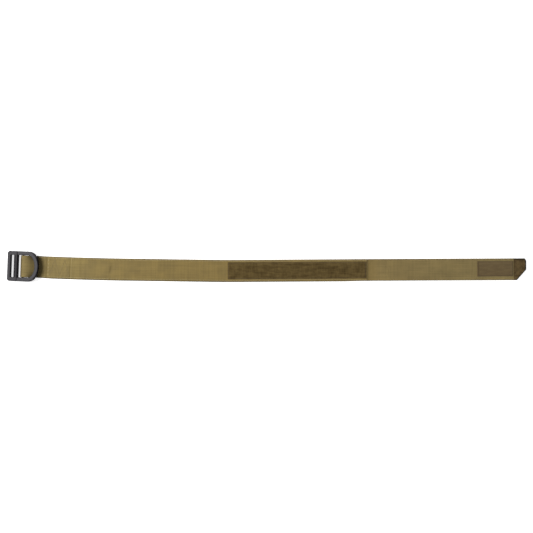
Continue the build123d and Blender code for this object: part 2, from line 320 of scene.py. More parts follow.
def strap_frame(q):
    """Middle point, outward normal, lateral, mark and level of the strap at q. The normal is
    square to the lateral and to the difference along q."""
    here, along, mark, level = strap_line(q)
    run = strap_line(q + 0.02)[0] - strap_line(q - 0.02)[0]
    run /= np.linalg.norm(run, axis=-1, keepdims=True)
    lateral = lateral_at(along)
    return here, np.cross(run, lateral), lateral, mark, level


def seamed(s):
    """1 where the two edge seams run, fading at their ends."""
    return smooth((s - 30) / 3) * (1 - smooth((s - 705.5) / 2))


def ridges(s, rows):
    """Sum of the bells of a list of ridges and valleys."""
    return sum(height * bell((s - at) / wide) for height, at, wide in rows)


def outer_relief(s, v, level):
    """Height over the strap's outer face: ribs, and edge seams that pull it in. The upper
    ply also has its ridges and valleys, slanting puckers in the box stitch, the crease's
    dimple and an uneven face."""
    ribs = RIB_HEIGHT * np.cos(2 * np.pi * s / RIB_PITCH)
    pull = 0.16 + 0.1 * np.cos(2 * np.pi * s / STITCH[0])
    seam = pull * bell((np.abs(v) - SEAM_V) / 0.75) * seamed(s)
    boxed = smooth((s - 54) / 3) * (1 - smooth((s - 95) / 3))
    fold = (s - ZIG_START) / (2 * ZIG_RUN)
    zig = ZIG_HALF * (1 - 2 * np.abs((fold % 2) - 1))
    ridge = ridges(s, PLY_RIDGES) - 0.4 * boxed * bell((v + zig) / 1.9)
    slant = s - 0.25 * v
    dip = smooth((slant - 177.2) / 3.4) * (1 - smooth((slant - 182) / 14))
    ridge = ridge - 0.95 * dip * bell(v / 8.5)
    uneven = 0.13 * mottle(s, v, 14, 30, 3) + 0.07 * mottle(s, v, 5, 12, 4)
    return ribs - seam + level * (ridge + uneven * smooth((22 - np.abs(v)) / 6))


def inner_relief(s, v, level):
    """Height over the inner face: ribs. On the tail, where this face shows, the ribs are
    taller, the face is uneven, and there are bars behind the doubled strap and before the
    hook patch."""
    ribs = RIB_HEIGHT * np.cos(2 * np.pi * s / RIB_PITCH)
    tail = smooth((s - 716) / 12) * (1 - level)
    uneven = 0.08 * mottle(s, v, 23, 40, 5) + 0.04 * mottle(s, v, 7, 12, 6)
    fade = smooth((22 - np.abs(v)) / 6)
    ribbed = smooth((s - 741) / 4) * (1 - smooth((s - 759) / 4))
    bars = ridges(s, TAIL_RIDGES) + 0.12 * ribbed * np.cos(2 * np.pi * s / 5.4)
    return 0.6 * ribs + tail * (0.4 * ribs + (uneven + bars) * fade)


def strap_section():
    """Half of the strap's closed section: flat columns between two round selvages."""
    turns = np.radians([18, 54])
    flat = np.array(FLAT_COLUMNS)
    flat = np.concatenate([-flat[:0:-1], flat])
    edge_v = HALF_WEB - SELVAGE_R + SELVAGE_R * np.cos(turns)
    edge_n = WEB_T / 2 * np.sin(turns)
    v = np.concatenate([-edge_v, flat, edge_v[::-1]])
    n = np.concatenate([edge_n, np.full(len(flat), WEB_T / 2), edge_n[::-1]])
    return v, n


def strap_rows(q0, q1, rounded):
    """Places along q on a whole number of steps, closer together at a rounded far end."""
    count = max(2, int(round((q1 - q0) / RIB_STEP)))
    rows = np.linspace(q0, q1, count + 1)
    if rounded:
        close = np.array([0, 0.06, 0.2, 0.45, 0.8])
        rows = np.concatenate([rows[rows < q1 - 1], (q1 - close)[::-1]])
    return rows


def strap(name, q0, q1, rounded=False):
    """Part of the strap: the section carried along q, each face lifted by its relief. A
    rounded far end thins over its last millimetre as a circle does. Ribs stand out a little
    at the edge, and the lower ply slips to one side where the strap is doubled."""
    q = strap_rows(q0, q1, rounded)
    here, normal, lateral, mark, level = strap_frame(q)
    half_v, half_n = strap_section()
    v = np.concatenate([half_v, half_v[::-1]])[None, :]
    n = np.concatenate([half_n, -half_n[::-1]])[None, :]
    s = mark[:, None]
    outer = outer_relief(s, v, level[:, None])
    inner = inner_relief(s, v, level[:, None])
    fade = np.abs(n) / (WEB_T / 2)
    n = n + fade * np.where(n > 0, outer, -inner)
    thin = 1 - level * pressed(mark)
    if rounded:
        thin = thin * np.sqrt(1 - 0.9 * (1 - np.clip(q1 - q, 0, 1)) ** 2)
    n = n * thin[:, None]
    wave = np.cos(2 * np.pi * s / (2 * RIB_PITCH))
    wide = v + 0.12 * np.sign(v) * smooth(np.abs(v) - 21) * wave
    doubled = smooth((s - 35) / 25) * (1 - smooth((s - 655) / 45))
    wide = wide - PLY_SLIP * (1 - level[:, None]) * doubled
    points = here[:, None] + wide[..., None] * lateral[:, None] + n[..., None] * normal[:, None]
    points[..., 2] = np.maximum(points[..., 2], 0.02)
    lay = np.stack(np.broadcast_arrays(s, v, LEVEL_MARK * level[:, None]), axis=-1)
    return ribbon(name, points, lay)


# ---------------------------------------------------------------- stitches

def stitch_run(points, pitch):
    """Ends of the stitches along a run of (s, v) corners, each side cut into whole stitches."""
    starts, ends = [], []
    for a, b in zip(points[:-1], points[1:]):
        a, b = np.array(a, float), np.array(b, float)
        count = max(1, int(round(np.linalg.norm(b - a) / pitch)))
        t = np.arange(count)[:, None] / count
        starts.append(a + (b - a) * t)
        ends.append(a + (b - a) * (t + 1 / count))
    return np.concatenate(starts), np.concatenate(ends)


def stitches(name, runs, surface, side=1, size=STITCH):
    """Stitches laid on a face: each a tapered tube that dips into the cloth at both ends."""
    pitch, thick, fill = size
    found = [stitch_run(run, pitch) for run in runs]
    a = np.concatenate([f[0] for f in found])[:, None, :]
    b = np.concatenate([f[1] for f in found])[:, None, :]
    # Each ring's place along the stitch, then its height over the face and its radius
    t = 0.5 + fill * np.array([-0.5, -0.35, 0, 0.35, 0.5])
    at = a + (b - a) * t[None, :, None]
    lift = np.array([-0.3, 0.02, 0.14, 0.02, -0.3])
    wide = np.array([0.16, 0.34, 0.4, 0.34, 0.16]) * thick / STITCH[1]
    s, v = at[..., 0], at[..., 1]
    z = surface(s, v) + side * lift
    run = (b - a)[:, 0]
    run = run / np.linalg.norm(run, axis=1, keepdims=True)
    turns = np.arange(6) * np.pi / 3
    across = np.cos(turns)[None, :] * wide[:, None]
    up = np.sin(turns)[None, :] * wide[:, None] * 0.8
    s6 = s[..., None] - run[:, None, None, 1] * across
    v6 = v[..., None] + run[:, None, None, 0] * across
    z6 = z[..., None] + up
    if side < 0:
        z6 = np.maximum(z6, 0.03)
    points = place(s6, v6, z6).reshape(len(s), -1, 3)
    along = np.broadcast_to(t[None, :, None] * pitch, s6.shape)
    lay = np.stack(np.broadcast_arrays(along, across, s[:, :1, None]), axis=-1)
    return many(name, points, ribbon_quads(5, 6), lay)


def on_top(s, v):
    """The doubled strap's upper face."""
    return high_mid(s) + WEB_T / 2 * (1 - pressed(s)) + outer_relief(s, v, 1.0)


def underneath(s, v):
    """The strap's lower face."""
    return low_mid(s) - WEB_T / 2 - outer_relief(s, v, 0.0)


def on_tail(s, v):
    """The single ply's upper face."""
    return low_mid(s) + WEB_T / 2 + inner_relief(s, v, 0.0)


def level_face(height):
    """A flat face at a height."""
    return lambda s, v: np.full(np.shape(s), height)


def row_across(s, half):
    """A row of stitches straight across the belt."""
    return [(s, -half), (s, half)]


def strip_outline(s_range, strip_half, shift=0.0):
    """The closed run of stitches just inside a strip's edge."""
    s0, s1 = s_range[0] + STRIP_SEAM, s_range[1] - STRIP_SEAM
    half = strip_half - STRIP_SEAM
    low, high = shift - half, shift + half
    return [(s0, low), (s1, low), (s1, high), (s0, high), (s0, low)]


# ---------------------------------------------------------------- sewn-on pieces

def strip_section(half, step, edge):
    """Columns across a flat strip: even steps, and two close together at each edge."""
    count = int(2 * half / step)
    v = np.linspace(-half, half, count + 1)
    close = np.array([0.0, 0.12])
    return np.concatenate([-half + close, v[np.abs(v) < half - edge], half - close[::-1]])


def strip(name, s_range, half, shift, step, base, top):
    """A thin sewn-on strip: a flat underside at base, and an upper face at base + top(s, v,
    inset) with a quarter-round rim. The inset is the distance from the nearest edge."""
    s0, s1 = s_range
    s = np.linspace(s0, s1, int((s1 - s0) / step) + 1)
    s = np.concatenate([[s0, s0 + 0.12], s[1:-1], [s1 - 0.12, s1]])
    v = strip_section(half, step, step * 0.6)
    grid_s, grid_v = np.meshgrid(s, v, indexing="ij")
    inset = np.minimum(np.minimum(grid_s - s0, s1 - grid_s), half - np.abs(grid_v))
    rim = 0.25 + 0.75 * np.sqrt(np.clip(1 - (1 - np.clip(inset / 0.5, 0, 1)) ** 2, 0, 1))
    over = base + np.maximum(top(grid_s, grid_v, inset) * rim, 0.12)
    under = np.full(over.shape, base + 0.01)
    full_s = np.concatenate([grid_s, grid_s[:, ::-1]], axis=1)
    full_v = np.concatenate([grid_v, grid_v[:, ::-1]], axis=1)
    full_z = np.concatenate([over, under[:, ::-1]], axis=1)
    points = place(full_s, full_v + shift, full_z)
    lay = np.stack([full_s, full_v, full_z], axis=-1)
    return ribbon(name, points, lay)


def pile_height(s, v, inset):
    """The loop panel over the strap: a thin woven tape at its edge, pressed in along its
    seam, and a pile inside that is crushed unevenly, with a worn line along its middle."""
    pile = smooth((inset - 2.1) / 1.4)
    crushed = 0.16 * mottle(s, v, 11, 7, 11) + 0.1 * mottle(s, v, 3.2, 2.6, 12)
    grain = 0.09 * mottle(s, v, 1.1, 1.0, 13)
    middle = 0.12 * bell((v - 1.2) / 1.3)
    seam = 0.18 * bell((inset - STRIP_SEAM) / 0.5)
    return 0.85 - seam + pile * (0.62 + crushed + grain - middle)


def hook_height(s, v, inset):
    """The hook tape: a smooth woven border and a field that is ribbed lengthwise."""
    field = smooth((inset - 2.4) / 0.6)
    ribs = 0.05 * np.cos(2 * np.pi * v / 1.5) * field
    seam = 0.15 * bell((inset - STRIP_SEAM) / 0.5)
    return 0.72 - seam + 0.1 * field + ribs


def scatter(s_range, half, pitch_s, pitch_v, stray, seed):
    """A lattice of (s, v) places, every second column half a pitch on, each place moved at
    random by up to stray. Gives the random numbers' source too."""
    s = np.arange(s_range[0], s_range[1], pitch_s)
    v = np.arange(-half, half + 0.01, pitch_v)
    grid_s, grid_v = np.meshgrid(s, v, indexing="ij")
    grid_s = grid_s + pitch_s / 2 * (np.arange(len(v)) % 2)[None, :]
    spots = np.stack([grid_s.ravel(), grid_v.ravel()], axis=1)
    rng = np.random.default_rng(seed)
    return spots + rng.uniform(-stray, stray, spots.shape), rng


def bristles(name, spots, floor_z, shape, size, yaw, sides, wire, shift=0.0):
    """Bent wires standing on a face: shape gives each point's run and height for size 1, the
    run is turned by yaw, and rings of the wire's radius stand square to the shape."""
    run = spots[:, :1] + np.cos(yaw)[:, None] * shape[None, :, 0] * size[:, None]
    off = spots[:, 1:] + np.sin(yaw)[:, None] * shape[None, :, 0] * size[:, None]
    z = floor_z[:, None] + shape[None, :, 1] * size[:, None]
    turns = np.arange(sides) * 2 * np.pi / sides
    tangent = np.gradient(shape, axis=0)
    tangent /= np.linalg.norm(tangent, axis=1, keepdims=True)
    flat, side = np.cos(turns) * wire, np.sin(turns) * wire
    along = -tangent[None, :, None, 1] * flat[None, None, :]
    up = tangent[None, :, None, 0] * flat[None, None, :]
    cos_yaw, sin_yaw = np.cos(yaw)[:, None, None], np.sin(yaw)[:, None, None]
    s = run[..., None] + cos_yaw * along - sin_yaw * side
    v = off[..., None] + sin_yaw * along + cos_yaw * side
    points = place(s, v + shift, z[..., None] + up).reshape(len(spots), -1, 3)
    lay = np.stack(np.broadcast_arrays(s, v, z[..., None]), axis=-1)
    return many(name, points, ribbon_quads(len(shape), sides), lay)


def pile_loops():
    """The panel's loops: small arches turned every way, standing on the pile."""
    spots, rng = scatter(PILE_S, PILE_HALF, 1.55, 1.5, 0.4, 21)
    ends = np.minimum(spots[:, 0] - PANEL_S[0], PANEL_S[1] - spots[:, 0])
    inset = np.minimum(PANEL_HALF - np.abs(spots[:, 1]), ends)
    ground = TOP_Z + pile_height(spots[:, 0], spots[:, 1], inset) - 0.12
    arc = np.radians([180, 130, 90, 50, 0])
    shape = np.stack([np.cos(arc), 0.9 * np.sin(arc)], axis=1)
    size = rng.uniform(0.38, 0.62, len(spots))
    yaw = rng.uniform(0, math.pi, len(spots))
    return bristles("loop_panel_pile", spots, ground, shape, size, yaw, 4, 0.13)


def patch_hooks():
    """The patch's hooks in straight rows, each a stem that bends over at its top."""
    spots, rng = scatter(HOOKS_S, HOOKS_HALF, 1.7, 1.5, 0.08, 22)
    ground = np.full(len(spots), HOOK_GROUND_Z)
    shape = np.array([[0, 0], [0.05, 0.45], [0.2, 0.72], [0.5, 0.78], [0.66, 0.55]])
    size = rng.uniform(0.85, 0.95, len(spots))
    turned = np.where(np.arange(len(spots)) % 2 == 0, 0.0, math.pi)
    yaw = turned + rng.normal(0, 0.15, len(spots))
    return bristles("hook_patch_hooks", spots, ground, shape, size, yaw, 4, 0.13, PATCH_SHIFT)


def cover_sides(s, inset):
    """Right and left side of the tip at station s, moved in by inset: straight, then the
    oblique cut on one side and the trimmed corner on the other."""
    slope = (HALF_WEB + CUT_RISE) / (CUT_END - CUT_START)
    cut = -HALF_WEB + slope * (s - CUT_START) + inset * math.hypot(1, slope)
    corner = (HALF_WEB - CORNER_V) / (COVER_S[1] - CORNER_START)
    trim = HALF_WEB - corner * (s - CORNER_START) - inset * math.hypot(1, corner)
    return np.maximum(-HALF_WEB + inset, cut), np.minimum(HALF_WEB - inset, trim)


def cover_loop(s, inset, low, high, rounded):
    """Closed loops across the tip at stations s, between two heights. A rounded tube thins
    at its sides and its far end as a circle does. Gives v, z and the distance from a side."""
    right, left = cover_sides(s, inset)
    u = np.concatenate([[-1, -0.985, -0.955], np.linspace(-0.9, 0.9, 25), [0.955, 0.985, 1]])
    mid, half = (right + left)[:, None] / 2, (left - right)[:, None] / 2
    v = mid + half * u[None, :]
    near = np.minimum(v - right[:, None], left[:, None] - v)
    thick = (high - low) / 2
    if rounded:
        bulge = np.sqrt(1 - (1 - np.clip(near / 1.1, 0, 1)) ** 2)
        end = np.sqrt(1 - (1 - np.clip((s[-1] - s) / 1.1, 0, 1)) ** 2)[:, None]
        thick = thick * np.minimum(0.12 + 0.88 * bulge, 0.12 + 0.88 * end)
    thick = np.broadcast_to(thick, v.shape)
    centre = (high + low) / 2
    z = np.concatenate([centre + thick, (centre - thick)[:, ::-1]], axis=1)
    return np.concatenate([v, v[:, ::-1]], axis=1), z, np.concatenate([near, near[:, ::-1]], 1)


def tip_cover():
    """The folded sheet over the strap's end: an outer tube closed at the tip, turned in at
    its mouth into an inner one, so that it is a pocket."""
    s0, s1 = COVER_S
    out_s = np.concatenate([np.linspace(s0, s1 - 1.2, 40), s1 - np.array([0.8, 0.45, 0.15, 0])])
    in_s = np.linspace(s0, s1 - 1.0, 20)[::-1]
    v1, z1, near1 = cover_loop(out_s, 0.0, 0.0, COVER_TOP, True)
    v2, z2, near2 = cover_loop(in_s, 0.8, SHEET_T, WEB_T, False)
    weave = 0.04 * np.sin(2 * np.pi * (out_s[:, None] + v1) / 2.4)
    weave = weave + 0.04 * np.sin(2 * np.pi * (out_s[:, None] - v1) / 2.4)
    z1 = z1 + np.where(z1 > COVER_TOP / 2, weave, 0) * smooth((near1 - 0.6) / 1.2)
    s = np.concatenate([out_s, in_s])[:, None]
    v = np.concatenate([v1, v2])
    z = np.concatenate([z1, z2])
    near = np.minimum(np.concatenate([near1, near2]), (s1 - s))
    points = place(s, v, np.maximum(z, 0.02))
    rows, columns = z.shape
    last_row = (rows - 1) * columns
    outer_end, inner_end = (len(out_s) - 1) * columns, len(out_s) * columns
    # The band between the two tubes' far ends is left out, and each end is filled across
    sides = np.delete(ribbon_quads(rows, columns)[:last_row], np.s_[outer_end:inner_end], 0)
    h = np.arange(columns // 2 - 1)
    cap = np.stack([h, columns - 1 - h, columns - 2 - h, h + 1], axis=-1)
    # The mouth joins the inner tube's last row to the outer tube's first
    j = np.arange(columns)
    k = (j + 1) % columns
    mouth = np.stack([last_row + j, last_row + k, k, j], axis=-1)
    quads = np.concatenate([sides, outer_end + cap[:, ::-1], inner_end + cap, mouth])
    lay = np.stack(np.broadcast_arrays(s, v, near), axis=-1)
    return to_metres("tip_cover_sheet", points, quads, lay)


# ---------------------------------------------------------------- materials

class Finish:
    """A node material under construction."""

    def __init__(self, name):
        self.material = bpy.data.materials.new(name)
        self.material.use_nodes = True
        self.tree = self.material.node_tree
        self.shader = self.tree.nodes["Principled BSDF"]

    def node(self, kind, settings=None, **inputs):
        """Adds a node; inputs are numbers, colours or sockets, by socket name."""
        made = self.tree.nodes.new(kind)
        for key, value in (settings or {}).items():
            setattr(made, key, value)
        for key, value in inputs.items():
            self.feed(made.inputs[key.replace("_", " ")], value)
        return made

    def feed(self, socket, value):
        """Links a socket to an input, or gives the input a value."""
        if isinstance(value, bpy.types.NodeSocket):
            self.tree.links.new(value, socket)
        else:
            socket.default_value = value

    def math(self, operation, a, b=0.0):
        """One arithmetic step on a and b."""
        made = self.tree.nodes.new("ShaderNodeMath")
        made.operation = operation
        self.feed(made.inputs[0], a)
        self.feed(made.inputs[1], b)
        return made.outputs[0]

    def lay(self):
        """The piece's own coordinates, the attribute "lay", in metres."""
        return self.node("ShaderNodeAttribute", {"attribute_name": "lay"}).outputs["Vector"]

    def stretched(self, vector, scale):
        """The coordinates scaled on each axis."""
        return self.node("ShaderNodeMapping", None, Vector=vector, Scale=scale).outputs[0]

    def noise(self, vector, scale, detail=2.0, rough=0.5):
        """Smooth noise, 0 to 1."""
        made = self.node("ShaderNodeTexNoise", None, Vector=vector, Scale=scale, Detail=detail,
                         Roughness=rough)
        return made.outputs["Fac"]

    def span(self, value, low, high, to_low=0.0, to_high=1.0):
        """The value's place between low and high, carried over to another span."""
        made = self.node("ShaderNodeMapRange")
        for socket, x in zip(made.inputs, (value, low, high, to_low, to_high)):
            self.feed(socket, x)
        return made.outputs[0]

    def blend(self, factor, a, b, kind="MIX"):
        """Colour a changed toward b."""
        made = self.node("ShaderNodeMix", {"data_type": "RGBA", "blend_type": kind})
        self.feed(made.inputs[0], factor)
        self.feed(made.inputs[6], a)
        self.feed(made.inputs[7], b)
        return made.outputs[2]

    def bump(self, height, strength, distance):
        """Turns the surface's normal by a height."""
        made = self.node("ShaderNodeBump", None, Height=height, Strength=strength,
                         Distance=distance)
        self.feed(self.shader.inputs["Normal"], made.outputs[0])

    def set(self, **inputs):
        """Sets the shader's inputs and gives the finished material."""
        for key, value in inputs.items():
            self.feed(self.shader.inputs[key.replace("_", " ")], value)
        return self.material


def shade(r, g, b):
    """A display colour, 0 to 255, as the linear colour that a shader takes."""
    return tuple((x / 255 / 12.92 if x < 10 else ((x / 255 + 0.055) / 1.055) ** 2.4)
                 for x in (r, g, b)) + (1.0,)


def half_wave(finish, value, pitch):
    """0.5 + 0.5 cos(2 pi value / pitch)."""
    turns = finish.math("MULTIPLY", value, 2 * math.pi / pitch)
    return finish.math("ADD", finish.math("MULTIPLY", finish.math("COSINE", turns), 0.5), 0.5)


def weave_height(finish, s, v):
    """Warp yarns side by side, each rising over every second rib, out of step with its
    neighbour: the product of a rib wave and a yarn wave, and the yarns' own roundness."""
    turns_s = finish.math("MULTIPLY", s, 2 * math.pi / (2 * RIB_PITCH * MM))
    turns_v = finish.math("MULTIPLY", v, 2 * math.pi / (2 * YARN * MM))
    cross = finish.math("MULTIPLY", finish.math("COSINE", turns_s), finish.math("COSINE", turns_v))
    round_yarn = half_wave(finish, v, YARN * MM)
    return finish.math("ADD", finish.math("MULTIPLY", cross, 0.6), round_yarn)


def ring_painted_shade(f, s, edge, level):
    """Painted shade on the upper ply where the ring lies over and beside it, deeper by the ring's
    feet, and painted shade in the turn round the bar."""
    upper = f.span(level, 0.0285, 0.0295)
    run = f.math("MULTIPLY", f.span(s, 0.004, 0.021), f.span(s, 0.037, 0.051, 1.0, 0.0))
    feet = f.math("MULTIPLY", f.span(edge, 0.011, 0.019), f.span(s, 0.006, 0.014, 0.0, 0.4))
    feet = f.math("MULTIPLY", feet, f.span(s, 0.03, 0.04, 1.0, 0.0))
    ring_shade = f.math("ADD", f.math("MULTIPLY", run, 0.5), feet)
    turn = f.math("MULTIPLY", f.span(level, 0.0, 0.001), f.span(level, 0.0276, 0.0292, 0.8, 0.0))
    return f.math("ADD", f.math("MULTIPLY", ring_shade, upper), turn)


def webbing_finish():
    """Khaki nylon webbing: a woven relief with painted shade in its hollows and painted highlight
    on its crowns, tones that drift along it, streaks along the warp, faint bands across, a paler
    line by each edge, painted shade on the rounded selvages, and painted shade by the ring and in
    the turn round the bar."""
    f = Finish("khaki_webbing")
    lay = f.lay()
    parts = f.node("ShaderNodeSeparateXYZ", None, Vector=lay)
    s, v = parts.outputs[0], parts.outputs[1]
    tones = f.node("ShaderNodeValToRGB", None, Fac=f.span(s, 0.0, 1.038))
    stops = [(0.0, (131, 114, 69)), (0.09, (132, 115, 69)), (0.17, (128, 110, 64)),
             (0.32, (128, 109, 62)), (0.68, (131, 111, 64)), (0.71, (131, 113, 70)),
             (0.8, (130, 113, 71)), (1.0, (132, 116, 74))]
    ramp_stops = tones.color_ramp.elements
    while len(ramp_stops) < len(stops):
        ramp_stops.new(1.0)
    for stop, (at, colour) in zip(ramp_stops, stops):
        stop.position = at
        stop.color = shade(*colour)
    streaks = f.noise(f.stretched(lay, (14, 700, 40)), 1.0, 3.0)
    bands = f.noise(f.stretched(lay, (260, 9, 40)), 1.0, 2.0)
    patches = f.noise(lay, 42.0, 3.0)
    tone = f.math("ADD", f.span(streaks, 0.3, 0.7, -0.1, 0.1),
                  f.span(bands, 0.3, 0.7, -0.07, 0.07))
    tone = f.math("ADD", tone, f.span(patches, 0.3, 0.7, -0.11, 0.11))
    weave = weave_height(f, s, v)
    # Colour follows the weave's height: painted shade in its hollows, painted highlight on its
    # crowns
    tone = f.math("ADD", tone, f.span(weave, -0.6, 1.6, -0.16, 0.12))
    edge = f.math("ABSOLUTE", v)
    # Painted shade on the rounded selvages: darker towards each edge
    selvage = f.span(edge, 0.0203, 0.0219, 0.0, -0.42)
    line_low = f.span(edge, 0.0188, 0.0196, 0.0, 1.0)
    line_high = f.span(edge, 0.0197, 0.0205, 1.0, 0.0)
    line = f.math("MULTIPLY", f.math("MULTIPLY", line_low, line_high), 0.14)
    tone = f.math("ADD", f.math("ADD", tone, selvage), line)
    lit = f.math("ADD", tone, 1.0)
    grey = f.node("ShaderNodeCombineXYZ", None, X=lit, Y=lit, Z=lit).outputs[0]
    colour = f.blend(1.0, tones.outputs[0], grey, "MULTIPLY")
    # Painted shade: the upper ply darkened under and beside the ring and in the turn round the bar
    colour = f.blend(ring_painted_shade(f, s, edge, parts.outputs[2]), colour, shade(58, 48, 20))
    f.bump(weave, 0.55, 0.00022)
    return f.set(Base_Color=colour, Roughness=f.span(patches, 0.3, 0.7, 0.72, 0.86),
                 Sheen_Weight=0.05, Sheen_Roughness=0.5, Specular_IOR_Level=0.25)


def thread_finish(name, low, high):
    """Bonded thread that drifts between two tones, with painted shade along the slanting grooves
    of its twist.
    """
    f = Finish(name)
    lay = f.lay()
    parts = f.node("ShaderNodeSeparateXYZ", None, Vector=lay)
    slant = f.math("ADD", parts.outputs[0], f.math("MULTIPLY", parts.outputs[1], 1.4))
    twist = half_wave(f, slant, 0.0006)
    drift = f.noise(lay, 90.0)
    tone = f.blend(drift, low, high)
    # Painted shade in the grooves of the twist
    colour = f.blend(twist, f.blend(0.3, tone, shade(50, 40, 22)), tone)
    f.bump(twist, 0.5, 0.00012)
    return f.set(Base_Color=colour, Roughness=f.span(drift, 0.3, 0.7, 0.5, 0.62),
                 Sheen_Weight=0.05)


def pile_finish():
    """Napped loop pile: dark olive brown with a crushed, streaky nap and a soft sheen."""
    f = Finish("loop_pile_nap")
    lay = f.lay()
    patches = f.noise(f.stretched(lay, (70, 160, 60)), 1.0, 4.0, 0.6)
    streaks = f.noise(f.stretched(lay, (30, 420, 60)), 1.0, 3.0, 0.6)
    bars = f.noise(f.stretched(lay, (420, 60, 60)), 1.0, 2.0, 0.6)
    fine = f.noise(lay, 1600.0, 3.0, 0.7)
    tone = f.math("ADD", f.math("MULTIPLY", patches, 0.45), f.math("MULTIPLY", streaks, 0.3))
    tone = f.math("ADD", tone, f.math("MULTIPLY", bars, 0.25))
    colour = f.blend(f.span(tone, 0.4, 0.6), shade(74, 58, 27), shade(109, 91, 53))
    colour = f.blend(f.span(fine, 0.35, 0.7, 0.0, 0.35), colour, shade(59, 46, 21))
    f.bump(fine, 0.6, 0.0004)
    return f.set(Base_Color=colour, Roughness=f.span(patches, 0.3, 0.7, 0.88, 0.97),
                 Sheen_Weight=0.06, Sheen_Roughness=0.6, Specular_IOR_Level=0.1)


def hook_finish():
    """Hook tape: a ribbed brown ground, a little darker on its flat border."""
    f = Finish("hook_tape_weave")
    lay = f.lay()
    parts = f.node("ShaderNodeSeparateXYZ", None, Vector=lay)
    rows = half_wave(f, parts.outputs[1], 0.0015)
    ranks = half_wave(f, parts.outputs[0], 0.00085)
    drift = f.noise(f.stretched(lay, (60, 200, 60)), 1.0, 3.0)
    ground = f.blend(f.span(drift, 0.3, 0.7), shade(104, 86, 56), shade(118, 100, 66))
    # Painted shade in the grooves between the ribs
    ground = f.blend(f.span(rows, 0.0, 1.0, 0.25, 0.0), ground, shade(70, 57, 34))
    border = f.span(f.math("ABSOLUTE", parts.outputs[1]), 0.0132, 0.0136)
    middle = (PATCH_S[0] + PATCH_S[1]) / 2 * MM
    ends = f.math("ABSOLUTE", f.math("SUBTRACT", parts.outputs[0], middle))
    border = f.math("MAXIMUM", border, f.span(ends, 0.0344, 0.0349))
    first = f.span(parts.outputs[0], 0.9388, 0.9396, 1.0, 0.0)
    border = f.math("MAXIMUM", f.math("MULTIPLY", border, 0.45), f.math("MULTIPLY", first, 0.8))
    colour = f.blend(border, ground, shade(84, 67, 36))
    f.bump(f.math("MULTIPLY", rows, ranks), 0.4, 0.0002)
    return f.set(Base_Color=colour, Roughness=f.span(drift, 0.3, 0.7, 0.6, 0.75),
                 Sheen_Weight=0.05, Specular_IOR_Level=0.35)


def cover_finish():
    """Dark coated fabric of the tip: a diagonal weave, near black along its folded edges."""
    f = Finish("tip_cover_cloth")
    lay = f.lay()
    parts = f.node("ShaderNodeSeparateXYZ", None, Vector=lay)
    s, v, near = parts.outputs
    rising = half_wave(f, f.math("ADD", s, v), 0.0024)
    falling = half_wave(f, f.math("SUBTRACT", s, v), 0.0024)
    weave = f.math("MULTIPLY", rising, falling)
    drift = f.noise(lay, 130.0, 4.0, 0.6)
    cloth = f.blend(f.span(drift, 0.35, 0.65), shade(62, 47, 24), shade(100, 82, 50))
    # Painted highlight on the weave's raised crossings
    cloth = f.blend(f.math("MULTIPLY", weave, 0.3), cloth, shade(112, 97, 62))
    far_end = f.span(s, 1.0118, 1.0175)
    upper = f.span(v, 0.012, 0.0195)
    rim = f.span(near, 0.0017, 0.0040, 1.0, 0.0)
    rim = f.math("MULTIPLY", rim, f.math("MAXIMUM", far_end, upper))
    colour = f.blend(f.math("MULTIPLY", rim, 0.9), cloth, shade(25, 19, 12))
    f.bump(weave, 0.5, 0.0002)
    return f.set(Base_Color=colour, Roughness=f.span(drift, 0.3, 0.7, 0.62, 0.78),
                 Specular_IOR_Level=0.2)


def buckle_finish():
    """Satin near-black coating on metal: a fine grain, blotches, rubs on the flats that are partly
    a painted highlight, and painted shade on the walls and edges."""
    f = Finish("buckle_satin_coat")
    spot = f.node("ShaderNodeTexCoord").outputs["Object"]
    grain = f.noise(spot, 2600.0, 3.0, 0.6)
    blotch = f.noise(spot, 90.0, 4.0, 0.6)
    scuff = f.noise(f.stretched(spot, (500, 60, 500)), 1.0, 4.0, 0.7)
    soft = f.node("ShaderNodeBevel", {"samples": 6}, Radius=0.0009).outputs[0]
    sharp = f.node("ShaderNodeNewGeometry").outputs["Normal"]
    turned = f.node("ShaderNodeVectorMath", {"operation": "DOT_PRODUCT"})
    f.feed(turned.inputs[0], soft)
    f.feed(turned.inputs[1], sharp)
    edge = f.span(turned.outputs["Value"], 0.985, 0.9)
    # Lighter flats away from the edges: scuffs, and a painted highlight
    rub_and_highlight = f.math("MULTIPLY", f.math("SUBTRACT", 1.0, edge), f.span(scuff, 0.42, 0.62, 0.1, 0.6))
    coat = f.blend(f.span(blotch, 0.35, 0.65), shade(27, 25, 28), shade(40, 37, 42))
    # Painted shade: faces turned sideways get a near-black colour and less reflection
    facing = f.node("ShaderNodeSeparateXYZ", None,
                    Vector=f.node("ShaderNodeTexCoord").outputs["Normal"]).outputs[2]
    flat = f.span(f.math("ABSOLUTE", facing), 0.35, 0.8)
    coat = f.blend(f.math("MULTIPLY", rub_and_highlight, 0.7), coat, shade(58, 55, 59))
    # Painted shade on the rounded edges
    coat = f.blend(f.math("MULTIPLY", edge, 0.75), coat, shade(12, 11, 13))
    colour = f.blend(flat, shade(7, 6, 7), coat)
    f.bump(grain, 0.12, 0.00006)
    return f.set(Base_Color=colour, Metallic=0.1,
                 Roughness=f.span(f.math("ADD", blotch, rub_and_highlight), 0.3, 1.2, 0.44, 0.58),
                 Specular_IOR_Level=f.span(flat, 0.0, 1.0, 0.04, 0.28))


def paper_finish():
    """The pale table: matt, and lit a little from beneath so that its shadows stay faint."""
    f = Finish("pale_table")
    tone = f.noise(f.node("ShaderNodeTexCoord").outputs["Object"], 30.0)
    colour = f.blend(tone, shade(228, 228, 228), shade(234, 234, 234))
    return f.set(Base_Color=colour, Roughness=0.95, Specular_IOR_Level=0.1,
                 Emission_Color=(1.0, 1.0, 1.0, 1.0), Emission_Strength=0.7)


# ---------------------------------------------------------------- putting it together


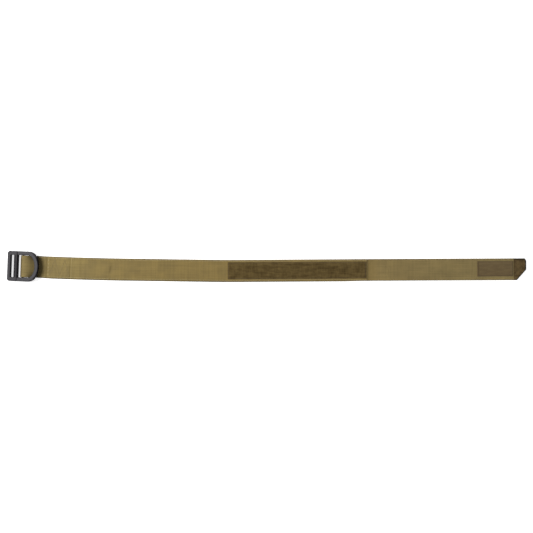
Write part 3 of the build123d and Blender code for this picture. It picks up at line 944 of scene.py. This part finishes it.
def bent(piece, joint):
    """Works out where a bend reaches on each side of its axis, then only bakes the piece's
    transform into its mesh.
    """
    k = STARTS.index(joint)
    s = STATIONS[k] + np.array([-BEND_REACH, BEND_REACH])
    start, end = place(s, 0.0, BEND_Z[joint]) * MM
    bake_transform(piece)


def carried(piece, how):
    """Bakes the piece's transform at a bend, or rides it on a stretch."""
    if how in STARTS:
        bent(piece, how)
    else:
        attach(piece, how)


def finished(piece, material, slot, how, *nodes):
    """Gives a piece its material and body, and hides the CAD nodes it stands for. Its slot is not
    used.
    """
    piece.data.materials.append(material)
    carried(piece, how)
    if nodes:
        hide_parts(*nodes)


def build_strap(webbing):
    """Every piece of the strap, cut in the middle of its rigid stretches."""
    loop = strap("strap_loop", -CUTS[0], LOOP_RUN + CUTS[0])
    finished(loop, webbing, "webbing", "buckle_end", "webbing_loop",
             "webbing_lower_buckle_end", "webbing_upper_buckle_end")
    lower = [
        ("strap_lower_front", 0, 1, "buckle_end_bend", "webbing_lower_front"),
        ("strap_lower_middle", 1, 2, "crease_bend", "webbing_lower_middle"),
        ("strap_lower_panel", 2, 3, "front_bend", "webbing_lower_panel"),
        ("strap_tail_root", 3, 4, "tail_fold", "webbing_tail"),
        ("strap_tail_middle", 4, 5, "tail_bend", "webbing_tail_outer"),
    ]
    for name, a, b, joint, node in lower:
        piece = strap(name, -CUTS[b], -CUTS[a])
        finished(piece, webbing, "webbing", joint, node)
    tip = strap("strap_tip", -(COVER_S[0] + STRAP_TUCK), -CUTS[5])
    finished(tip, webbing, "webbing", "tip_bend", "webbing_tip")
    upper = [
        ("strap_upper_front", CUTS[0], CUTS[1], "buckle_end_bend", "webbing_upper_front"),
        ("strap_upper_middle", CUTS[1], CUTS[2], "crease_bend", "webbing_upper_middle"),
        ("strap_upper_panel", CUTS[2], CUTS[3], "front_bend", "webbing_upper_panel"),
        ("strap_ply_end", CUTS[3], PLY_END, "panel", "webbing_upper_panel"),
    ]
    for name, s0, s1, how, node in upper:
        piece = strap(name, LOOP_RUN + s0, LOOP_RUN + s1, rounded=s1 == PLY_END)
        finished(piece, webbing, "webbing", how, node)


def through(name, runs, size, yarn, how, *nodes):
    """A seam through the strap: stitches on its upper face, which stand for the CAD's seam,
    and on its lower face."""
    finished(stitches(name, runs, on_top, 1, size), yarn, "thread", how, *nodes)
    finished(stitches(name + "_under", runs, underneath, -1, size), yarn, "thread", how)


def edge_rows(name, s0, s1, how, yarn, *nodes):
    """Both edge seams between two stations."""
    runs = [[(s0, v), (s1, v)] for v in (-SEAM_V, SEAM_V)]
    through(name, runs, STITCH, yarn, how, *nodes)


def build_stitches(pale, khaki, brown):
    """Every seam, each as its own stitches."""
    edge_rows("edge_stitches_buckle_end", CUTS[0] + 1, CUTS[1], "buckle_end_bend", pale,
              "edge_seams_buckle_end", "edge_seams_front")
    edge_rows("edge_stitches_middle", CUTS[1], CUTS[2], "crease_bend", pale,
              "edge_seams_middle")
    edge_rows("edge_stitches_front", CUTS[2], CUTS[3], "front_bend", pale,
              "edge_seams_panel")
    edge_rows("edge_stitches_panel", CUTS[3], EDGE_END_S, "panel", pale, "edge_seams_panel")
    through("tack_stitches", [row_across(TACK_S, ROW_HALF)], TACK_STITCH, pale, "buckle_end",
            "loop_tack_seam")
    through("box_end_stitches", [row_across(BOX_END_S, ROW_HALF)], BOX_STITCH, khaki,
            "buckle_end", "box_end_seam")
    corners = [(ZIG_START + ZIG_RUN * i, ZIG_HALF * (-1) ** (i + 1)) for i in range(5)]
    through("box_zigzag_stitches", [corners], STITCH, khaki, "buckle_end", "box_zigzag_seam")
    piece = stitches("ply_end_stitches", [row_across(PLY_ROW_S, SEAM_V)], on_top)
    finished(piece, khaki, "thread", "panel", "ply_end_seam")
    outline = strip_outline(PANEL_S, PANEL_HALF)
    piece = stitches("loop_panel_stitches", [outline], level_face(PANEL_SEAM_Z))
    finished(piece, brown, "thread", "panel", "loop_panel_seam")
    outline = strip_outline(PATCH_S, PATCH_HALF, PATCH_SHIFT)
    piece = stitches("hook_patch_stitches", [outline], level_face(PATCH_SEAM_Z), 1, PATCH_STITCH)
    finished(piece, brown, "thread", "tip", "hook_patch_seam")
    piece = stitches("hook_patch_stitches_under", [outline], underneath, -1, PATCH_STITCH)
    finished(piece, brown, "thread", "tip")
    piece = stitches("tip_cover_stitches", [row_across(COVER_ROW_S, SEAM_V)], on_tail, 1,
                     COVER_STITCH)
    finished(piece, khaki, "thread", "tip", "tip_cover_seam")


def build_patches(pile, hook, cover):
    """The loop panel, the hook patch and the tip cover."""
    panel = strip("loop_panel_tape", PANEL_S, PANEL_HALF, 0.0, 0.85, TOP_Z + STRIP_GAP,
                  pile_height)
    finished(panel, pile, "loop_pile", "panel", "loop_panel")
    finished(pile_loops(), pile, "loop_pile", "panel", "loop_panel")
    patch = strip("hook_patch_tape", PATCH_S, PATCH_HALF, PATCH_SHIFT, 0.5, WEB_T + STRIP_GAP,
                  hook_height)
    finished(patch, hook, "hook_tape", "tip", "hook_patch")
    finished(patch_hooks(), hook, "hook_tape", "tip", "hook_patch")
    tip = tip_cover()
    finished(tip, cover, "cover_sheet", "tip", "tip_cover")


def build_stage():
    """A wide pale table: flat rings round a middle point, the outer ones rising with the
    square of their distance. It lies a little below the belt."""
    sides = TABLE_SIDES
    turns = np.linspace(0, 2 * np.pi, sides + 1)[:-1]
    radius = np.array(TABLE_RINGS)
    rise = np.clip((radius - TABLE_FLAT) / (radius[-1] - TABLE_FLAT), 0, 1) ** 2 * TABLE_RISE
    ring = np.stack([np.outer(radius, np.cos(turns)), np.outer(radius, np.sin(turns)),
                     np.repeat(rise[:, None], sides, 1)], axis=-1)
    mesh = bpy.data.meshes.new("floor")
    points = np.concatenate([ring.reshape(-1, 3), [[0, 0, 0]]])
    points[:, 2] -= TABLE_DROP
    i, j = np.meshgrid(np.arange(len(radius) - 1) * sides, np.arange(sides), indexing="ij")
    k = (j + 1) % sides
    bands = np.stack([i + j, i + sides + j, i + sides + k, i + k], axis=-1).reshape(-1, 4)
    middle = [(len(points) - 1, a, (a + 1) % sides) for a in range(sides)]
    mesh.from_pydata(points.tolist(), [], bands.tolist() + middle)
    mesh.polygons.foreach_set("use_smooth", np.ones(len(mesh.polygons), bool))
    floor = bpy.data.objects.new("floor", mesh)
    bpy.context.scene.collection.objects.link(floor)
    mesh.materials.append(paper_finish())


def lamp(name, at, aim, size, power):
    """A square soft light at a place, aimed at a point, both in metres."""
    data = bpy.data.lights.new(name, "AREA")
    data.size = size
    data.energy = power
    light = bpy.data.objects.new(name, data)
    light.location = at
    direction = np.array(aim, float) - np.array(at, float)
    light.rotation_mode = "QUATERNION"
    light.rotation_quaternion = Vector(direction).to_track_quat("-Z", "Y")
    bpy.context.scene.collection.objects.link(light)


def build_lights():
    """A softbox over the buckle's side, and an even dome."""
    lamp("softbox", SOFTBOX_AT, (0.0, 0.0, 0.0), SOFTBOX_SIZE, SOFTBOX_POWER)
    world = bpy.data.worlds.new("dome")
    world.use_nodes = True
    background = world.node_tree.nodes["Background"]
    background.inputs["Color"].default_value = (1.0, 1.0, 1.0, 1.0)
    background.inputs["Strength"].default_value = DOME_POWER
    bpy.context.scene.world = world


def build_camera():
    """Straight above the middle of the belt, looking down."""
    data = bpy.data.cameras.new("overhead")
    data.sensor_width = SENSOR_MM
    data.lens = LENS_MM
    camera = bpy.data.objects.new("overhead", data)
    camera.location = CAMERA_AT
    camera.rotation_euler = (0.0, 0.0, CAMERA_TURN)
    bpy.context.scene.collection.objects.link(camera)
    bpy.context.scene.camera = camera


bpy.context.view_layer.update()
build_camera()
build_lights()
build_stage()
bpy.context.scene.view_settings.view_transform = "Standard"
build_strap(webbing_finish())
build_stitches(thread_finish("pale_thread", shade(158, 143, 98), shade(178, 163, 118)),
               thread_finish("khaki_thread", shade(124, 107, 66), shade(144, 127, 82)),
               thread_finish("brown_thread", shade(72, 58, 34), shade(98, 83, 53)))
build_patches(pile_finish(), hook_finish(), cover_finish())
coat = buckle_finish()
buckle = frame["nodes"]["buckle_frame"]
buckle.data.materials.clear()
buckle.data.materials.append(coat)
